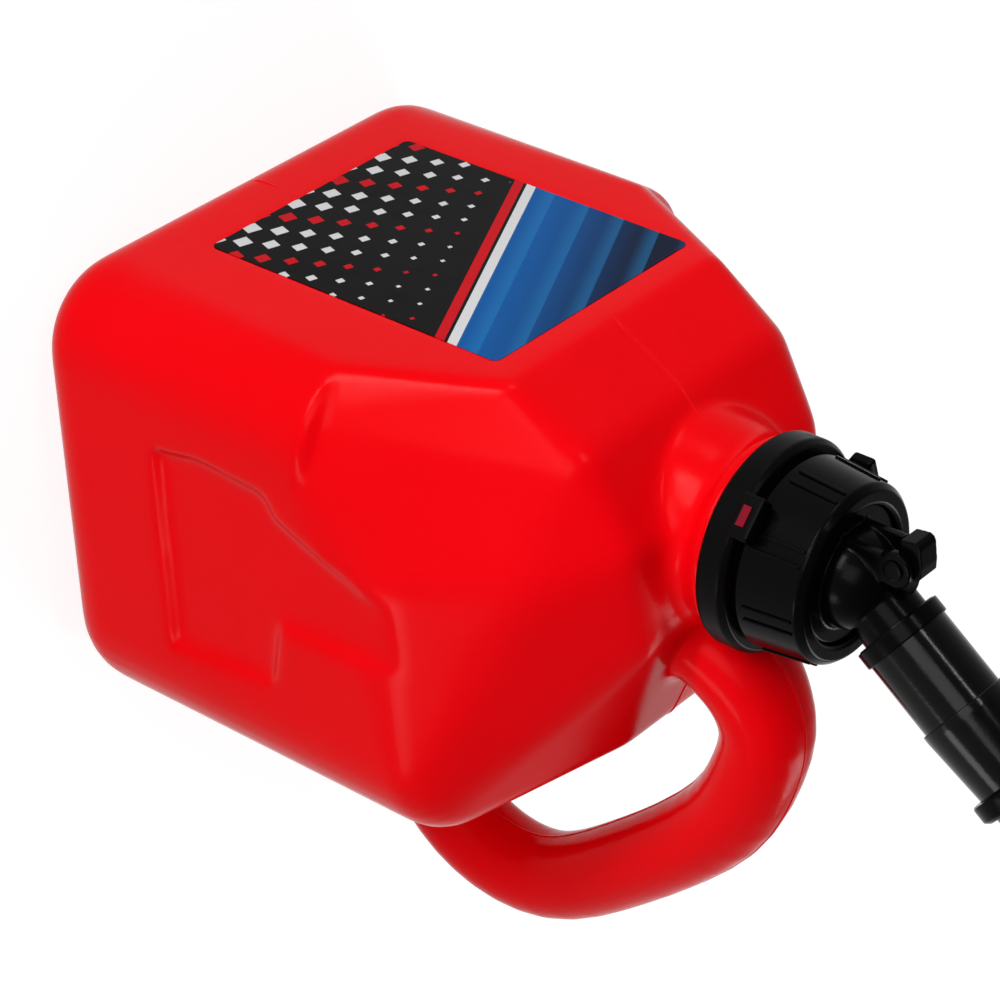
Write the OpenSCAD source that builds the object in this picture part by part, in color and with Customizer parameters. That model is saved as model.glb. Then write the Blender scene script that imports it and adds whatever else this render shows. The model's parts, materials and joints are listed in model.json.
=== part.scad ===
// Two-gallon fuel can with a screw collar and a swivelling pouring spout.
// Frame: origin in the middle of the base, +Z up, -Y is the label side, +Y the handle side. Millimetres.

/* [Tank] */
// Width of the tank body
body_w = 224; // [214:1:234]
// Depth of the tank body from the label face to the back
body_d = 191; // [185:1:199]
// Height of the shoulder above the label
shoulder_h = 14.5; // [12:0.5:17]
// Height of the hood around the neck above the shoulder
hood_h = 53; // [50:0.5:56]
// Wall thickness of the moulded tank
wall = 2.6; // [2.2:0.1:3.2]
// Depth of the panel pressed into each side wall
panel_depth = 3.5; // [2:0.5:4.5]

/* [Handle] */
// Width of the handle bar across the can
handle_w = 38; // [34:1:40]
// Thickness of the handle bar
handle_t = 36; // [32:1:38]
// Reach of the handle behind the back wall, to the middle of the bar
handle_reach = 83; // [78:1:90]

/* [Label] */
// Width of the front label
label_w = 112.5; // [100:0.5:118]
// Height of the front label
label_h = 142; // [130:1:145]
// Thickness of the front label
label_t = 0.5; // [0.4:0.1:0.8]

/* [Neck and collar] */
// Distance of the neck axis behind the label face
neck_front = 68; // [66.5:0.5:70.5]
// Height of the neck rim above the hood
neck_h = 44; // [42:0.5:46]
// Bore of the filler neck
neck_bore = 52; // [50:0.5:54]
// Rise of the screw thread in one turn
lead = 6; // [5.5:0.5:6.5]
// Outer radius of the lock ring
ring_r = 41.5; // [40.5:0.5:43]

/* [Spout] */
// Lean of the spout tube from the vertical, towards the handle
lean = 38; // [38:1:43]
// Outer diameter of the spout tube
tube_d = 33; // [32:0.5:33.5]
// Length of the spout tube that shows below the nozzle
tube_l = 37.5; // [32:0.5:45]
// Length of the tapering nozzle
nozzle_l = 115; // [95:1:130]
// Outer diameter of the nozzle tip
tip_d = 21; // [20:0.5:23]

/* [Trigger and valve] */
// Width of the thumb trigger
trigger_w = 10; // [9:0.2:11]
// Diameter of the trigger pin
pin_d = 4; // [3:0.25:4.25]
// Radius of the valve disc
valve_r = 9.5; // [9:0.25:9.75]

/* [Fits] */
// Running gap between pieces that move past each other
gap = 0.4; // [0.3:0.05:0.5]
// Gap of a piece that sits in another one
seat_gap = 0.05; // [0.03:0.01:0.1]

/* [Hidden] */
$fn = 72;

hw = body_w / 2;
hd = body_d / 2;
// place of the label, and heights of shoulder and hood above it
label_x = -5;
label_z = 38.5;
shoulder_z = label_z + label_h + shoulder_h;
hood_z = shoulder_z + hood_h;
// half widths of the front face at the lower and upper end of the bevels, edge radii there, and how far
// these edges lie behind the label face
bevel_low = label_w / 2 + 29.75;
bevel_top = label_w / 2 + 0.75;
bevel_low_r = 7;
bevel_top_r = 9;
bevel_low_back = 0.04;
bevel_top_back = 0.1;
// large rounding between side wall and bevel
flank_r = 50;
// neck axis ahead of the body middle, and height of the neck rim
neck_off = hd - neck_front;
neck_z = hood_z + neck_h;
bore_r = neck_bore / 2;
// neck: thread root and crest, collar bore around it
root_r = bore_r + 3.6;
crest_r = root_r + 1.8;
collar_in = crest_r + 0.6;
neck_r = collar_in;
// heights of the ring and collar stack
ring_z0 = neck_z - 30;
ring_z1 = neck_z - 17.5;
collar_z0 = neck_z - 16;
collar_z1 = neck_z + 12;
gasket_z0 = neck_z + seat_gap;
flange_z0 = gasket_z0 + 2.2 + seat_gap;
floor_z = flange_z0 + 4.2;
flange_z1 = flange_z0 + 4.8;
lip_z = flange_z1 + gap;
base_top = neck_z + 9.5;
flange_r = collar_in - 0.6;
boss_r = flange_r - 4.8;
lip_r = boss_r + gap;
collar_r0 = collar_in + 5.2;
collar_r1 = collar_in + 2.8;
// elbow and dome of the spout base
elbow_z = neck_z + 11.8;
dome_z = neck_z + 10;
dome_r = 20;
dome_in = 17.2;
tube_r = tube_d / 2;
tube_in = tube_r - 2.5;
socket_r = tube_in - gap;
tube_s0 = 22;
socket_l = 44;
nozzle_s0 = tube_s0 + tube_l;
tube_s1 = nozzle_s0 + 10.5;
nozzle_s1 = nozzle_s0 + nozzle_l;
cone_s0 = nozzle_s0 + 3;
sleeve_r = tube_r + 1.1;
tip_r = tip_d / 2;
slope = (sleeve_r - tip_r) / (nozzle_s1 - cone_s0);
stop_s0 = nozzle_s0 + 30.5;
stop_l = 8;
vent_y = 4;
vent_r = 2.5;
// valve and trigger
stem_y = -neck_off - 6.5;
stem_r = 2;
gland_z = neck_z + 27.3;
gland_z0 = gland_z - 6.5;
disc_z = floor_z + seat_gap + 2.1 + seat_gap;
disc_z1 = disc_z + 2.3;
pivot_y = -neck_off - 15.4;
pivot_z = neck_z + 32.7;
arm = stem_y - pivot_y;
head_z = pivot_z - 0.4;
head_r = 4;
seal_r = 3.8;
pin_r = pin_d / 2;
cheek_x = trigger_w / 2 + gap;
cheek_t = 3.3;
boss_disc_r = 7;
// lugs of the lock ring, angle from the label side
lug_at = [46, 287];
lug_r0 = collar_r0 + 1.9;
lug_r1 = ring_r + 4;
lug_w = 17;
lug_h = 9.5;
lug_z = ring_z1 - 1.5;
insert_w = 8;
insert_h = 3.4;
insert_z = lug_z + 2.6;
insert_d = 3;
pocket = label_t - 0.15;

// closed polygon rings joined into a skin with flat ends
module skin(rings) {
    n = len(rings[0]);
    m = len(rings);
    polyhedron(
        points = [for (r = rings) for (p = r) p],
        faces = concat(
            [[for (j = [0:n - 1]) j]],
            [for (i = [0:m - 2]) for (j = [0:n - 1])
                [i * n + j, (i + 1) * n + j, (i + 1) * n + (j + 1) % n, i * n + (j + 1) % n]],
            [[for (j = [n - 1:-1:0]) (m - 1) * n + j]]),
        convexity = 8);
}

// helical ridge around Z: root radius, crest radius, half widths at root and crest
module helix_ridge(r0, r1, w0, w1, z0, turns, start) {
    step = 10;
    count = floor(turns * 360 / step);
    sec = r1 > r0 ? [[r0, w0], [r1, w1], [r1, -w1], [r0, -w0]]
                  : [[r0, -w0], [r1, -w1], [r1, w1], [r0, w0]];
    skin([for (i = [0:count]) let (a = start + i * step, z = z0 + lead * i * step / 360)
        [for (p = sec) [p[0] * cos(a), p[0] * sin(a), z + p[1]]]]);
}

// ball and ring whose poles and equator lie on the exact sphere and torus
module doughnut(big, r, k) {
    rotate_extrude($fn = k) intersection() {
        translate([big - r, 0]) circle(r, $fn = k);
        translate([0, -r]) square([big, 2 * r]);
    }
}
module ball(r, k) { doughnut(r, r, k); }

// rounded body of the tank, drawn smaller by t on every side
module body_shape(t, k) {
    rf = 34; rb = 40;
    // lower box, whose front corners stand out a little below the bevels
    hull() for (s = [-1, 1]) {
        base_corners(s, rf, rb, t, k);
        translate([s * (hw - rf), -(hd - rf), shoulder_z - 61]) doughnut(rf - t, 6 - t, k);
        translate([s * (hw - rb), hd - rb, shoulder_z - 61]) doughnut(rb - t, 6 - t, k);
    }
    // front bevels with a crisp edge, soft shoulders and the hood
    hull() for (s = [-1, 1]) {
        base_corners(s, rf, rb, t, k);
        translate([s * (hw - rf), -(hd - rf), shoulder_z - 68]) doughnut(rf - t, 6 - t, k);
        translate([s * bevel_low, bevel_low_r + bevel_low_back - hd, shoulder_z - 60])
            ball(bevel_low_r - t, k);
        translate([s * bevel_top, bevel_top_r + bevel_top_back - hd, shoulder_z - 4])
            ball(bevel_top_r - t, k);
        translate([s * (hw - flank_r), -12, shoulder_z - 37]) ball(flank_r - t, k);
        translate([s * (hw - flank_r), -40, shoulder_z - 68.5]) ball(flank_r - t, k);
        translate([s * (hw - rb), hd - rb, shoulder_z - 21]) doughnut(rb - t, 20 - t, k);
        translate([s * 67, -22, shoulder_z + 9]) ball(24 - t, k);
        translate([s * 62, 21, shoulder_z - 3]) ball(24 - t, k);
        translate([s * 49.5, -61.5, hood_z - 36]) ball(20 - t, k);
        translate([s * 51, -37, hood_z - 13]) ball(12 - t, k);
        translate([s * 43, 2, hood_z - 12]) ball(12 - t, k);
        translate([s * 26, hd - 34, hood_z - 37]) ball(12 - t, k);
    }
}
module base_corners(s, rf, rb, t, k) {
    translate([s * (hw - rf), -(hd - rf), 18]) doughnut(rf - t, 18 - t, k);
    translate([s * (hw - rb), hd - rb, 22]) doughnut(rb - t, 22 - t, k);
}

// middle line of the handle in the Y-Z plane
hy = hd + handle_reach;
handle_line = [[8, neck_z - 72], [24, neck_z - 49], [42, neck_z - 30.5], [66, neck_z - 27],
    [hy - 71, neck_z - 45.5], [hy - 28, neck_z - 90], [hy, 160], [hy - 1, 122], [hy - 27, 94],
    [hd + 4.5, 80], [hd - 25, 76]];

// point and heading on a smooth curve through the points of the line
function bend(p, i, u) =
    let (a = p[max(i - 1, 0)], b = p[i], c = p[i + 1], d = p[min(i + 2, len(p) - 1)])
    0.5 * (2 * b + (c - a) * u + (2 * a - 5 * b + 4 * c - d) * u * u + (3 * b - a - 3 * c + d) * u * u * u);
function heading(p, i, u) = let (e = bend(p, i, min(u + 0.02, 1)) - bend(p, i, max(u - 0.02, 0))) e / norm(e);

// bar of oval section along the handle line, wider where it grows out of the body
function flare(q) = 1 + 0.7 * pow(max(0, 1 - q / 3.2), 2) + 0.35 * pow(max(0, q - 8) / 2, 2);
module handle_bar(t, around, along) {
    skin([for (i = [0:len(handle_line) - 2]) for (j = [0:along - (i < len(handle_line) - 2 ? 1 : 0)])
        let (u = j / along, p = bend(handle_line, i, u), h = heading(handle_line, i, u))
        [for (k = [0:around - 1]) let (a = 360 * k / around,
            x = (handle_w / 2 * flare(i + u) - t) * cos(a), q = -(handle_t / 2 - t) * sin(a))
            [x, p[0] - q * h[1], p[1] + q * h[0]]]]);
}

// outline of the side panel, Y and Z, drawn larger by e
module panel_shape(e) {
    polygon([[-43 - e, 62 - e], [-47 - e, 84], [-45 - e, 118 + e], [-36 - e * 0.6, 123 + e],
        [-14 - e, shoulder_z - 16 + e], [9 + e, shoulder_z - 14 + e], [12 + e, 122 + e], [40 + e, 117 + e],
        [45 + e, 64 - e]]);
}
module side_panel(s, e, deep) {
    translate([s > 0 ? hw - deep : -hw - 1, 0, 0])
        rotate([90, 0, 90]) linear_extrude(deep + 1) panel_shape(e);
}

module tank() {
    color([0.85, 0.03, 0.05]) difference() {
        union() {
            body_shape(0, 32);
            handle_bar(0, 24, 4);
            translate([0, -neck_off, 0]) {
                rotate_extrude() polygon([[0, hood_z - 24], [43, hood_z - 24], [40.5, hood_z - 9],
                    [38.4, hood_z],
                    [37, 0.5 * (hood_z + ring_z0 - 7)], [36.6, ring_z0 - 7],
                    [38.4, ring_z0 - 5], [38.6, ring_z0 - 1.5], [37.8, ring_z0 - seat_gap],
                    [neck_r, ring_z0 - seat_gap], [neck_r, collar_z0 - 0.8], [root_r, collar_z0],
                    [root_r, neck_z],
                    [0, neck_z]]);
                helix_ridge(root_r - 0.5, crest_r, 1.5, 0.8, neck_z - 13.5, 1.75, 0);
            }
        }
        difference() {
            body_shape(wall, 28);
            for (s = [-1, 1]) side_panel(s, wall, panel_depth + wall);
        }
        handle_bar(wall, 20, 3);
        for (s = [-1, 1]) side_panel(s, 0, panel_depth);
        translate([0, -neck_off, hood_z - 20]) cylinder(r = bore_r, h = neck_z);
        translate([label_x - label_w / 2 - 0.1, -hd - 1, label_z - 0.1])
            cube([label_w + 0.2, 1 + pocket, label_h + 0.2]);
    }
}

module front_label() {
    color([0.07, 0.2, 0.45]) translate([label_x - label_w / 2, -hd + pocket - label_t, label_z])
        cube([label_w, label_t, label_h]);
}

module at_lug(a) { translate([0, -neck_off, 0]) rotate([0, 0, a - 90]) children(); }

module lock_ring() {
    color([0.06, 0.06, 0.065]) difference() {
        union() {
            translate([0, -neck_off, 0]) rotate_extrude() polygon([[neck_r + seat_gap, ring_z0],
                [ring_r - 1, ring_z0], [ring_r, ring_z0 + 1], [ring_r, ring_z1 - 1.5],
                [ring_r - 1.5, ring_z1],
                [neck_r + seat_gap, ring_z1]]);
            for (a = lug_at) at_lug(a)
                translate([lug_r0, -lug_w / 2, lug_z]) cube([lug_r1 - lug_r0, lug_w, lug_h]);
        }
        for (a = lug_at) at_lug(a) translate([lug_r1 - insert_d, -insert_w / 2, insert_z])
            cube([insert_d + 1, insert_w, insert_h]);
    }
}
module lug_insert(a) {
    color([0.8, 0.03, 0.04]) at_lug(a)
        translate([lug_r1 - insert_d, -insert_w / 2 + seat_gap, insert_z + seat_gap])
            cube([insert_d + 0.3, insert_w - 2 * seat_gap, insert_h - 2 * seat_gap]);
}
module lug_insert_1() { lug_insert(lug_at[0]); }
module lug_insert_2() { lug_insert(lug_at[1]); }

module neck_gasket() {
    color([0.2, 0.2, 0.2]) translate([0, -neck_off, gasket_z0]) difference() {
        cylinder(r = flange_r - 0.2, h = 2.2);
        translate([0, 0, -1]) cylinder(r = bore_r + 0.3, h = 5);
    }
}

module screw_collar() {
    tilt = atan((collar_r0 - collar_r1) / 25);
    color([0.05, 0.05, 0.055]) translate([0, -neck_off, 0]) union() {
        rotate_extrude() polygon([[collar_in, collar_z0], [collar_r0 - 0.6, collar_z0],
            [collar_r0, collar_z0 + 1.5], [collar_r1, collar_z1 - 1.5], [collar_r1 - 1.6, collar_z1],
            [lip_r, collar_z1], [lip_r, lip_z], [collar_in, lip_z]]);
        // paired grip ribs
        for (k = [0:7]) for (s = [-1, 1]) rotate([0, 0, 45 * k + 4.5 * s + 10])
            translate([collar_r0 - 1.2, -0.7, collar_z0 + 3]) rotate([0, -tilt, 0]) cube([2, 1.4, 20.5]);
        helix_ridge(collar_in + 0.5, root_r + gap, 1.2, 0.7, neck_z - 13.5 + lead / 2, 1.25, 0);
    }
}

// frame of the leaning spout: Z along the tube, -Y on the trigger side
module on_spout() { translate([0, -neck_off, elbow_z]) rotate([-lean, 0, 0]) children(); }

module spout_base() {
    color([0.05, 0.05, 0.055]) difference() {
        union() {
            difference() {
                union() {
                    translate([0, -neck_off, flange_z0]) cylinder(r = flange_r, h = flange_z1 - flange_z0);
                    translate([0, -neck_off, flange_z0]) cylinder(r = boss_r, h = base_top - flange_z0);
                    difference() {
                        intersection() {
                            translate([0, -neck_off, dome_z]) sphere(r = dome_r);
                            translate([0, -neck_off, flange_z0 + 1]) cylinder(r = boss_r, h = 60);
                        }
                        translate([0, stem_y, gland_z]) cylinder(r = 8, h = 20);
                    }
                    on_spout() cylinder(r = socket_r, h = socket_l);
                    for (s = [-1, 1]) translate([s > 0 ? cheek_x : -cheek_x - cheek_t, 0, 0]) {
                        translate([0, pivot_y - 4.5, base_top - 1])
                            cube([cheek_t, 11.5, pivot_z - base_top + 1]);
                        translate([0, pivot_y, pivot_z]) rotate([0, 90, 0])
                            cylinder(r = boss_disc_r, h = cheek_t);
                    }
                }
                intersection() {
                    translate([0, -neck_off, dome_z]) sphere(r = dome_in);
                    translate([0, -neck_off, floor_z]) cylinder(r = boss_r, h = 60);
                }
                on_spout() translate([0, 0, 4]) cylinder(r = socket_r - 2.6, h = socket_l);
                on_spout() translate([0, 0, 35]) difference() {
                    cylinder(r = tube_r, h = 3);
                    translate([0, 0, -1]) cylinder(r = socket_r - 0.9, h = 5);
                }
            }
            // gland around the valve stem, under the flat of the dome
            translate([0, stem_y, gland_z0]) cylinder(r = 8.2, h = gland_z - gland_z0);
        }
        translate([0, stem_y, flange_z0 - 1]) cylinder(r = valve_r - 2, h = floor_z - flange_z0 + 2);
        translate([0, stem_y, gland_z0 - 1]) cylinder(r = stem_r + 0.1, h = 20);
        translate([0, stem_y, gland_z - 3.2]) cylinder(r = seal_r, h = 20);
        translate([-40, pivot_y, pivot_z]) rotate([0, 90, 0]) cylinder(r = pin_r + seat_gap, h = 80);
    }
}

module flame_screen() {
    top = flange_z0 - seat_gap;
    color([0.62, 0.62, 0.6]) translate([0, -neck_off, 0]) difference() {
        union() {
            translate([0, 0, top - 32]) cylinder(r = bore_r - 1.6, h = 32);
            translate([0, 0, top - 1.6]) cylinder(r = bore_r - 0.5, h = 1.6);
        }
        translate([0, 0, top - 30.8]) cylinder(r = bore_r - 2.8, h = 40);
        for (k = [0:9]) rotate([0, 0, 36 * k]) translate([0, -2, top - 27]) cube([40, 4, 20]);
        for (k = [0:5]) rotate([0, 0, 60 * k]) translate([13, 0, top - 40]) cylinder(r = 4, h = 20);
        translate([0, 0, top - 40]) cylinder(r = 4, h = 20);
    }
}

module gland_seal() {
    color([0.12, 0.12, 0.12]) translate([0, stem_y, gland_z - 3.2]) difference() {
        cylinder(r = seal_r - seat_gap, h = 3);
        translate([0, 0, -1]) cylinder(r = stem_r + 0.1, h = 5);
    }
}

module valve_stem() {
    color([0.08, 0.08, 0.085]) translate([0, stem_y, 0]) union() {
        translate([0, 0, disc_z]) cylinder(r = valve_r, h = disc_z1 - disc_z);
        translate([0, 0, floor_z - 1.5]) cylinder(r = stem_r, h = head_z + 2.4 - floor_z + 1.5);
    }
}
module valve_seal() {
    color([0.15, 0.15, 0.15]) translate([0, stem_y, floor_z + seat_gap]) difference() {
        cylinder(r = valve_r, h = 2.1);
        translate([0, 0, -1]) cylinder(r = stem_r + seat_gap, h = 5);
    }
}
module stem_head() {
    color([0.08, 0.08, 0.085]) translate([0, stem_y, head_z]) difference() {
        cylinder(r = head_r, h = 3.4);
        translate([0, 0, -1]) cylinder(r = stem_r + seat_gap, h = 1 + 2.4 + seat_gap);
    }
}

// coil between the valve disc and the gland
module valve_spring() {
    wire = 0.55; turns = 4; mean_r = 5.6; step = 15;
    z0 = disc_z1 + wire + 0.1;
    rise = gland_z0 - wire - 0.1 - z0;
    count = turns * 360 / step;
    color([0.7, 0.7, 0.72]) translate([0, stem_y, z0]) skin([for (i = [0:count]) let (a = i * step)
        [for (k = [0:7]) let (b = -45 * k, r = mean_r + wire * cos(b))
            [r * cos(a), r * sin(a), rise * i / count + wire * sin(b)]]]);
    echo("valve spring free space between coils", rise / turns - 2 * wire);
}

module trigger() {
    color([0.05, 0.05, 0.055]) translate([-trigger_w / 2, pivot_y, pivot_z]) difference() {
        union() {
            rotate([0, 90, 0]) cylinder(r = 4, h = trigger_w);
            rotate([90, 0, 90]) linear_extrude(trigger_w) polygon([[-11, 0.2], [-11.8, 6.2], [-11, 7.8],
                [-9.4, 8.6],
                [-2, 9.4], [2, 9.2], [3.4, 8], [3.9, 6], [3.4, 3.5], [2.5, 0], [-3, -1]]);
            // fork with round tips under the stem head
            for (x = [0, trigger_w / 2 + stem_r + gap]) translate([x, 0, 0]) {
                translate([0, 0, -3.6]) cube([trigger_w / 2 - stem_r - gap, arm, 2.8]);
                translate([0, arm, -2.2]) rotate([0, 90, 0])
                    cylinder(r = 1.4, h = trigger_w / 2 - stem_r - gap);
            }
        }
        translate([-1, 0, 0]) rotate([0, 90, 0]) cylinder(r = pin_r + 0.06, h = trigger_w + 2);
    }
}
module trigger_pin() {
    x1 = cheek_x + cheek_t + seat_gap;
    color([0.55, 0.55, 0.57]) translate([0, pivot_y, pivot_z]) rotate([0, 90, 0]) union() {
        translate([0, 0, -x1]) cylinder(r = pin_r, h = 2 * x1);
        for (s = [-1, 1]) translate([0, 0, s > 0 ? x1 : -x1 - 1.2]) cylinder(r = pin_r + 2, h = 1.2);
    }
}

module spout_tube() {
    color([0.04, 0.04, 0.045]) on_spout() translate([0, 0, tube_s0]) difference() {
        cylinder(r = tube_r, h = tube_s1 - tube_s0);
        translate([0, 0, -1]) cylinder(r = tube_in, h = tube_s1 - tube_s0 + 2);
    }
}
module tube_ring() {
    color([0.05, 0.05, 0.055]) on_spout() rotate_extrude() polygon([[tube_r + seat_gap, tube_s0 + 0.4],
        [sleeve_r - 0.4, tube_s0 + 0.4], [sleeve_r, tube_s0 + 1], [sleeve_r, tube_s0 + 6.4],
        [sleeve_r - 0.4, tube_s0 + 7], [tube_r + seat_gap, tube_s0 + 7]]);
}
module tube_seal() {
    color([0.12, 0.12, 0.12]) on_spout() translate([0, 0, 36.5]) rotate_extrude()
        translate([(tube_in + socket_r - 0.9) / 2, 0])
            circle(r = (tube_in - socket_r + 0.9) / 2 - seat_gap, $fn = 24);
}
module nozzle() {
    color([0.04, 0.04, 0.045]) on_spout() rotate_extrude() polygon([[tube_r + seat_gap, nozzle_s0],
        [sleeve_r, nozzle_s0], [sleeve_r, cone_s0], [tip_r, nozzle_s1], [tip_r - 2.2, nozzle_s1],
        [tube_in - 0.6, tube_s1 + seat_gap], [tube_r + seat_gap, tube_s1 + seat_gap]]);
}
module stop_ring() {
    r0 = sleeve_r - slope * (stop_s0 - cone_s0) + seat_gap;
    r1 = r0 - slope * stop_l;
    color([0.05, 0.05, 0.055]) on_spout() difference() {
        union() {
            rotate_extrude() polygon([[r0 - 2, stop_s0], [r0 + 3.2, stop_s0], [r0 + 3.8, stop_s0 + 0.8],
                [r0 + 3.8, stop_s0 + stop_l - 1.5], [r0 + 2, stop_s0 + stop_l], [r0 - 2, stop_s0 + stop_l]]);
            translate([-5, r0, stop_s0 + 1]) cube([10, 6.5, stop_l - 2]);
        }
        rotate_extrude() polygon([[0, stop_s0 - 1], [r0 + slope, stop_s0 - 1],
            [r1 - slope, stop_s0 + stop_l + 1],
            [0, stop_s0 + stop_l + 1]]);
    }
}
module vent_spider() {
    color([0.1, 0.1, 0.1]) on_spout() translate([0, 0, socket_l + 1]) difference() {
        union() {
            difference() {
                cylinder(r = tube_in - seat_gap, h = 5);
                translate([0, 0, -1]) cylinder(r = tube_in - 1.8, h = 7);
            }
            translate([0, vent_y, 0]) cylinder(r = vent_r + 1.5, h = 5);
            translate([-tube_in + 1, vent_y - 0.8, 0]) cube([2 * tube_in - 2, 1.6, 5]);
            translate([-0.8, vent_y, 0]) cube([1.6, tube_in - vent_y - 0.8, 5]);
        }
        translate([0, vent_y, -1]) cylinder(r = vent_r + seat_gap, h = 7);
    }
}
module vent_tube() {
    color([0.3, 0.3, 0.32]) on_spout() translate([0, vent_y, socket_l + 1]) difference() {
        cylinder(r = vent_r, h = nozzle_s1 - socket_l - 8);
        translate([0, 0, -1]) cylinder(r = vent_r - 0.8, h = nozzle_s1);
    }
}

tank();
front_label();
lock_ring();
lug_insert_1();
lug_insert_2();
neck_gasket();
screw_collar();
spout_base();
flame_screen();
gland_seal();
valve_stem();
valve_seal();
stem_head();
valve_spring();
trigger();
trigger_pin();
spout_tube();
tube_ring();
tube_seal();
nozzle();
stop_ring();
vent_spider();
vent_tube();
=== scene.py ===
# %% [markdown]
# # A two-gallon fuel can with a pouring spout
# The can is a red blow-moulded jug. A black screw collar on its neck holds a domed spout base, a leaning tube
# and a tapering nozzle, and a thumb lever in front of the dome opens the valve. The solids come from the
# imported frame. This lesson dresses them: soft moulded edges, plastics with a skin, a printed film, studio
# light and the camera.

import json
import math

import bmesh
import bpy
from mathutils import Matrix, Vector

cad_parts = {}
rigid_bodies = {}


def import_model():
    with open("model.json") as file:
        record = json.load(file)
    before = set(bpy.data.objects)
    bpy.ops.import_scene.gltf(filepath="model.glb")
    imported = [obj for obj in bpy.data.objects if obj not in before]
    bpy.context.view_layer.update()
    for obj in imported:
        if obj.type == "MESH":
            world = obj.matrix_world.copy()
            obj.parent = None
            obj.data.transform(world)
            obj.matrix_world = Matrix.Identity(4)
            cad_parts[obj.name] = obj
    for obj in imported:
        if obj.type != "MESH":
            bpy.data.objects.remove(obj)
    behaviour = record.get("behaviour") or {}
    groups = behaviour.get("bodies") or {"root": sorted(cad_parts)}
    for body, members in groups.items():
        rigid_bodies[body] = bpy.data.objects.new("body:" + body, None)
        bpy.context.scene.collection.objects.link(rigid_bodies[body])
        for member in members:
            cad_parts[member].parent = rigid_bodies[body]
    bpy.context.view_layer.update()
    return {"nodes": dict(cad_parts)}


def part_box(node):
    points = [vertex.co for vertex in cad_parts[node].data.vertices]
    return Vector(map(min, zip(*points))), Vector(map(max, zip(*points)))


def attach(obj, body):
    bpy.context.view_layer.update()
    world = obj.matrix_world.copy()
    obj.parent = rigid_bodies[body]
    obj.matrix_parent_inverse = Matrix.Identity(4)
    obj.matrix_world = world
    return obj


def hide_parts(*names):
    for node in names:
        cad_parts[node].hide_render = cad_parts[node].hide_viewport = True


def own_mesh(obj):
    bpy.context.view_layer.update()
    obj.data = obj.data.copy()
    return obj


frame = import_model()
nodes = frame["nodes"]
scene = bpy.context.scene
MM = 0.001

# %% [markdown]
# ## Places that the pieces share
# The neck axis and the leaning axis of the spout are needed by many pieces. The neck axis is read from the
# gasket's box, so it stays right if the solids move. The spout leans back from a point inside the dome.

# %% Axes of neck and spout
GASKET_GAP = 0.05 * MM
ELBOW_RISE = 11.8 * MM
LEAN = math.radians(38)
gasket_low, gasket_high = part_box("neck_gasket")
NECK_Y = (gasket_low[1] + gasket_high[1]) / 2
RIM_Z = gasket_low[2] - GASKET_GAP
neck_place = Matrix.Translation((0, NECK_Y, RIM_Z))
spout_place = Matrix.Translation((0, NECK_Y, RIM_Z + ELBOW_RISE)) @ Matrix.Rotation(-LEAN, 4, "X")


def from_neck_axis(point):
    return math.hypot(point.x, point.y - NECK_Y)


print("neck axis at y = %.4f m, rim at z = %.4f m" % (NECK_Y, RIM_Z))

# %% [markdown]
# ## A skin for moulded plastic
# Moulded plastic is never one flat colour: the surface has a fine orange peel from the mould, broad faint
# clouds in the pigment, and rubbed patches that are a little duller. All plastics here share these, so they
# are one node group with scales for the peel and the clouds. It puts out only things that vary: a height, a
# cloud value and a rub value.

# %% Node group for the moulded skin
RUB_SCALE, RUB_DISTORTION = 46.0, 1.2
RUB_FROM, RUB_TO = 0.52, 0.72


def set_range(node, side, low, high):
    """Set one side of a Map Range node: From or To."""
    node.inputs[side + " Min"].default_value = low
    node.inputs[side + " Max"].default_value = high


def add_socket(group, name, way, value=None):
    made = group.interface.new_socket(name=name, in_out=way, socket_type="NodeSocketFloat")
    if value is not None:
        made.default_value = value


def skin_group():
    group = bpy.data.node_groups.new("moulded_skin", "ShaderNodeTree")
    add_socket(group, "Peel Scale", "INPUT", 700.0)
    add_socket(group, "Cloud Scale", "INPUT", 14.0)
    for name in ("Height", "Cloud", "Rub"):
        add_socket(group, name, "OUTPUT")
    make, wire = group.nodes.new, group.links.new
    given, told = make("NodeGroupInput"), make("NodeGroupOutput")
    place = make("ShaderNodeTexCoord")
    peel, cloud, rub = (make("ShaderNodeTexNoise") for _ in range(3))
    for noise, detail in ((peel, 2.0), (cloud, 3.0), (rub, 8.0)):
        wire(place.outputs["Object"], noise.inputs["Vector"])
        noise.inputs["Detail"].default_value = detail
    wire(given.outputs["Peel Scale"], peel.inputs["Scale"])
    wire(given.outputs["Cloud Scale"], cloud.inputs["Scale"])
    rub.inputs["Scale"].default_value = RUB_SCALE
    rub.inputs["Distortion"].default_value = RUB_DISTORTION
    worn = make("ShaderNodeMapRange")
    set_range(worn, "From", RUB_FROM, RUB_TO)
    wire(rub.outputs["Fac"], worn.inputs["Value"])
    wire(peel.outputs["Fac"], told.inputs["Height"])
    wire(cloud.outputs["Fac"], told.inputs["Cloud"])
    wire(worn.outputs["Result"], told.inputs["Rub"])
    return group


moulded_skin = skin_group()
skin_outputs = [item.name for item in moulded_skin.interface.items_tree if item.in_out == "OUTPUT"]
print("group", moulded_skin.name, "gives", skin_outputs)

# %% [markdown]
# ## Plastics, rubber and steel
# Each finish is a Principled shader with two colours that the clouds mix, a roughness that the rubbed patches
# lift, and a bump from the peel. The red of the tank is a waxy semi-gloss, the tube is the shiniest black and
# the ring the dullest.

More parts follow.
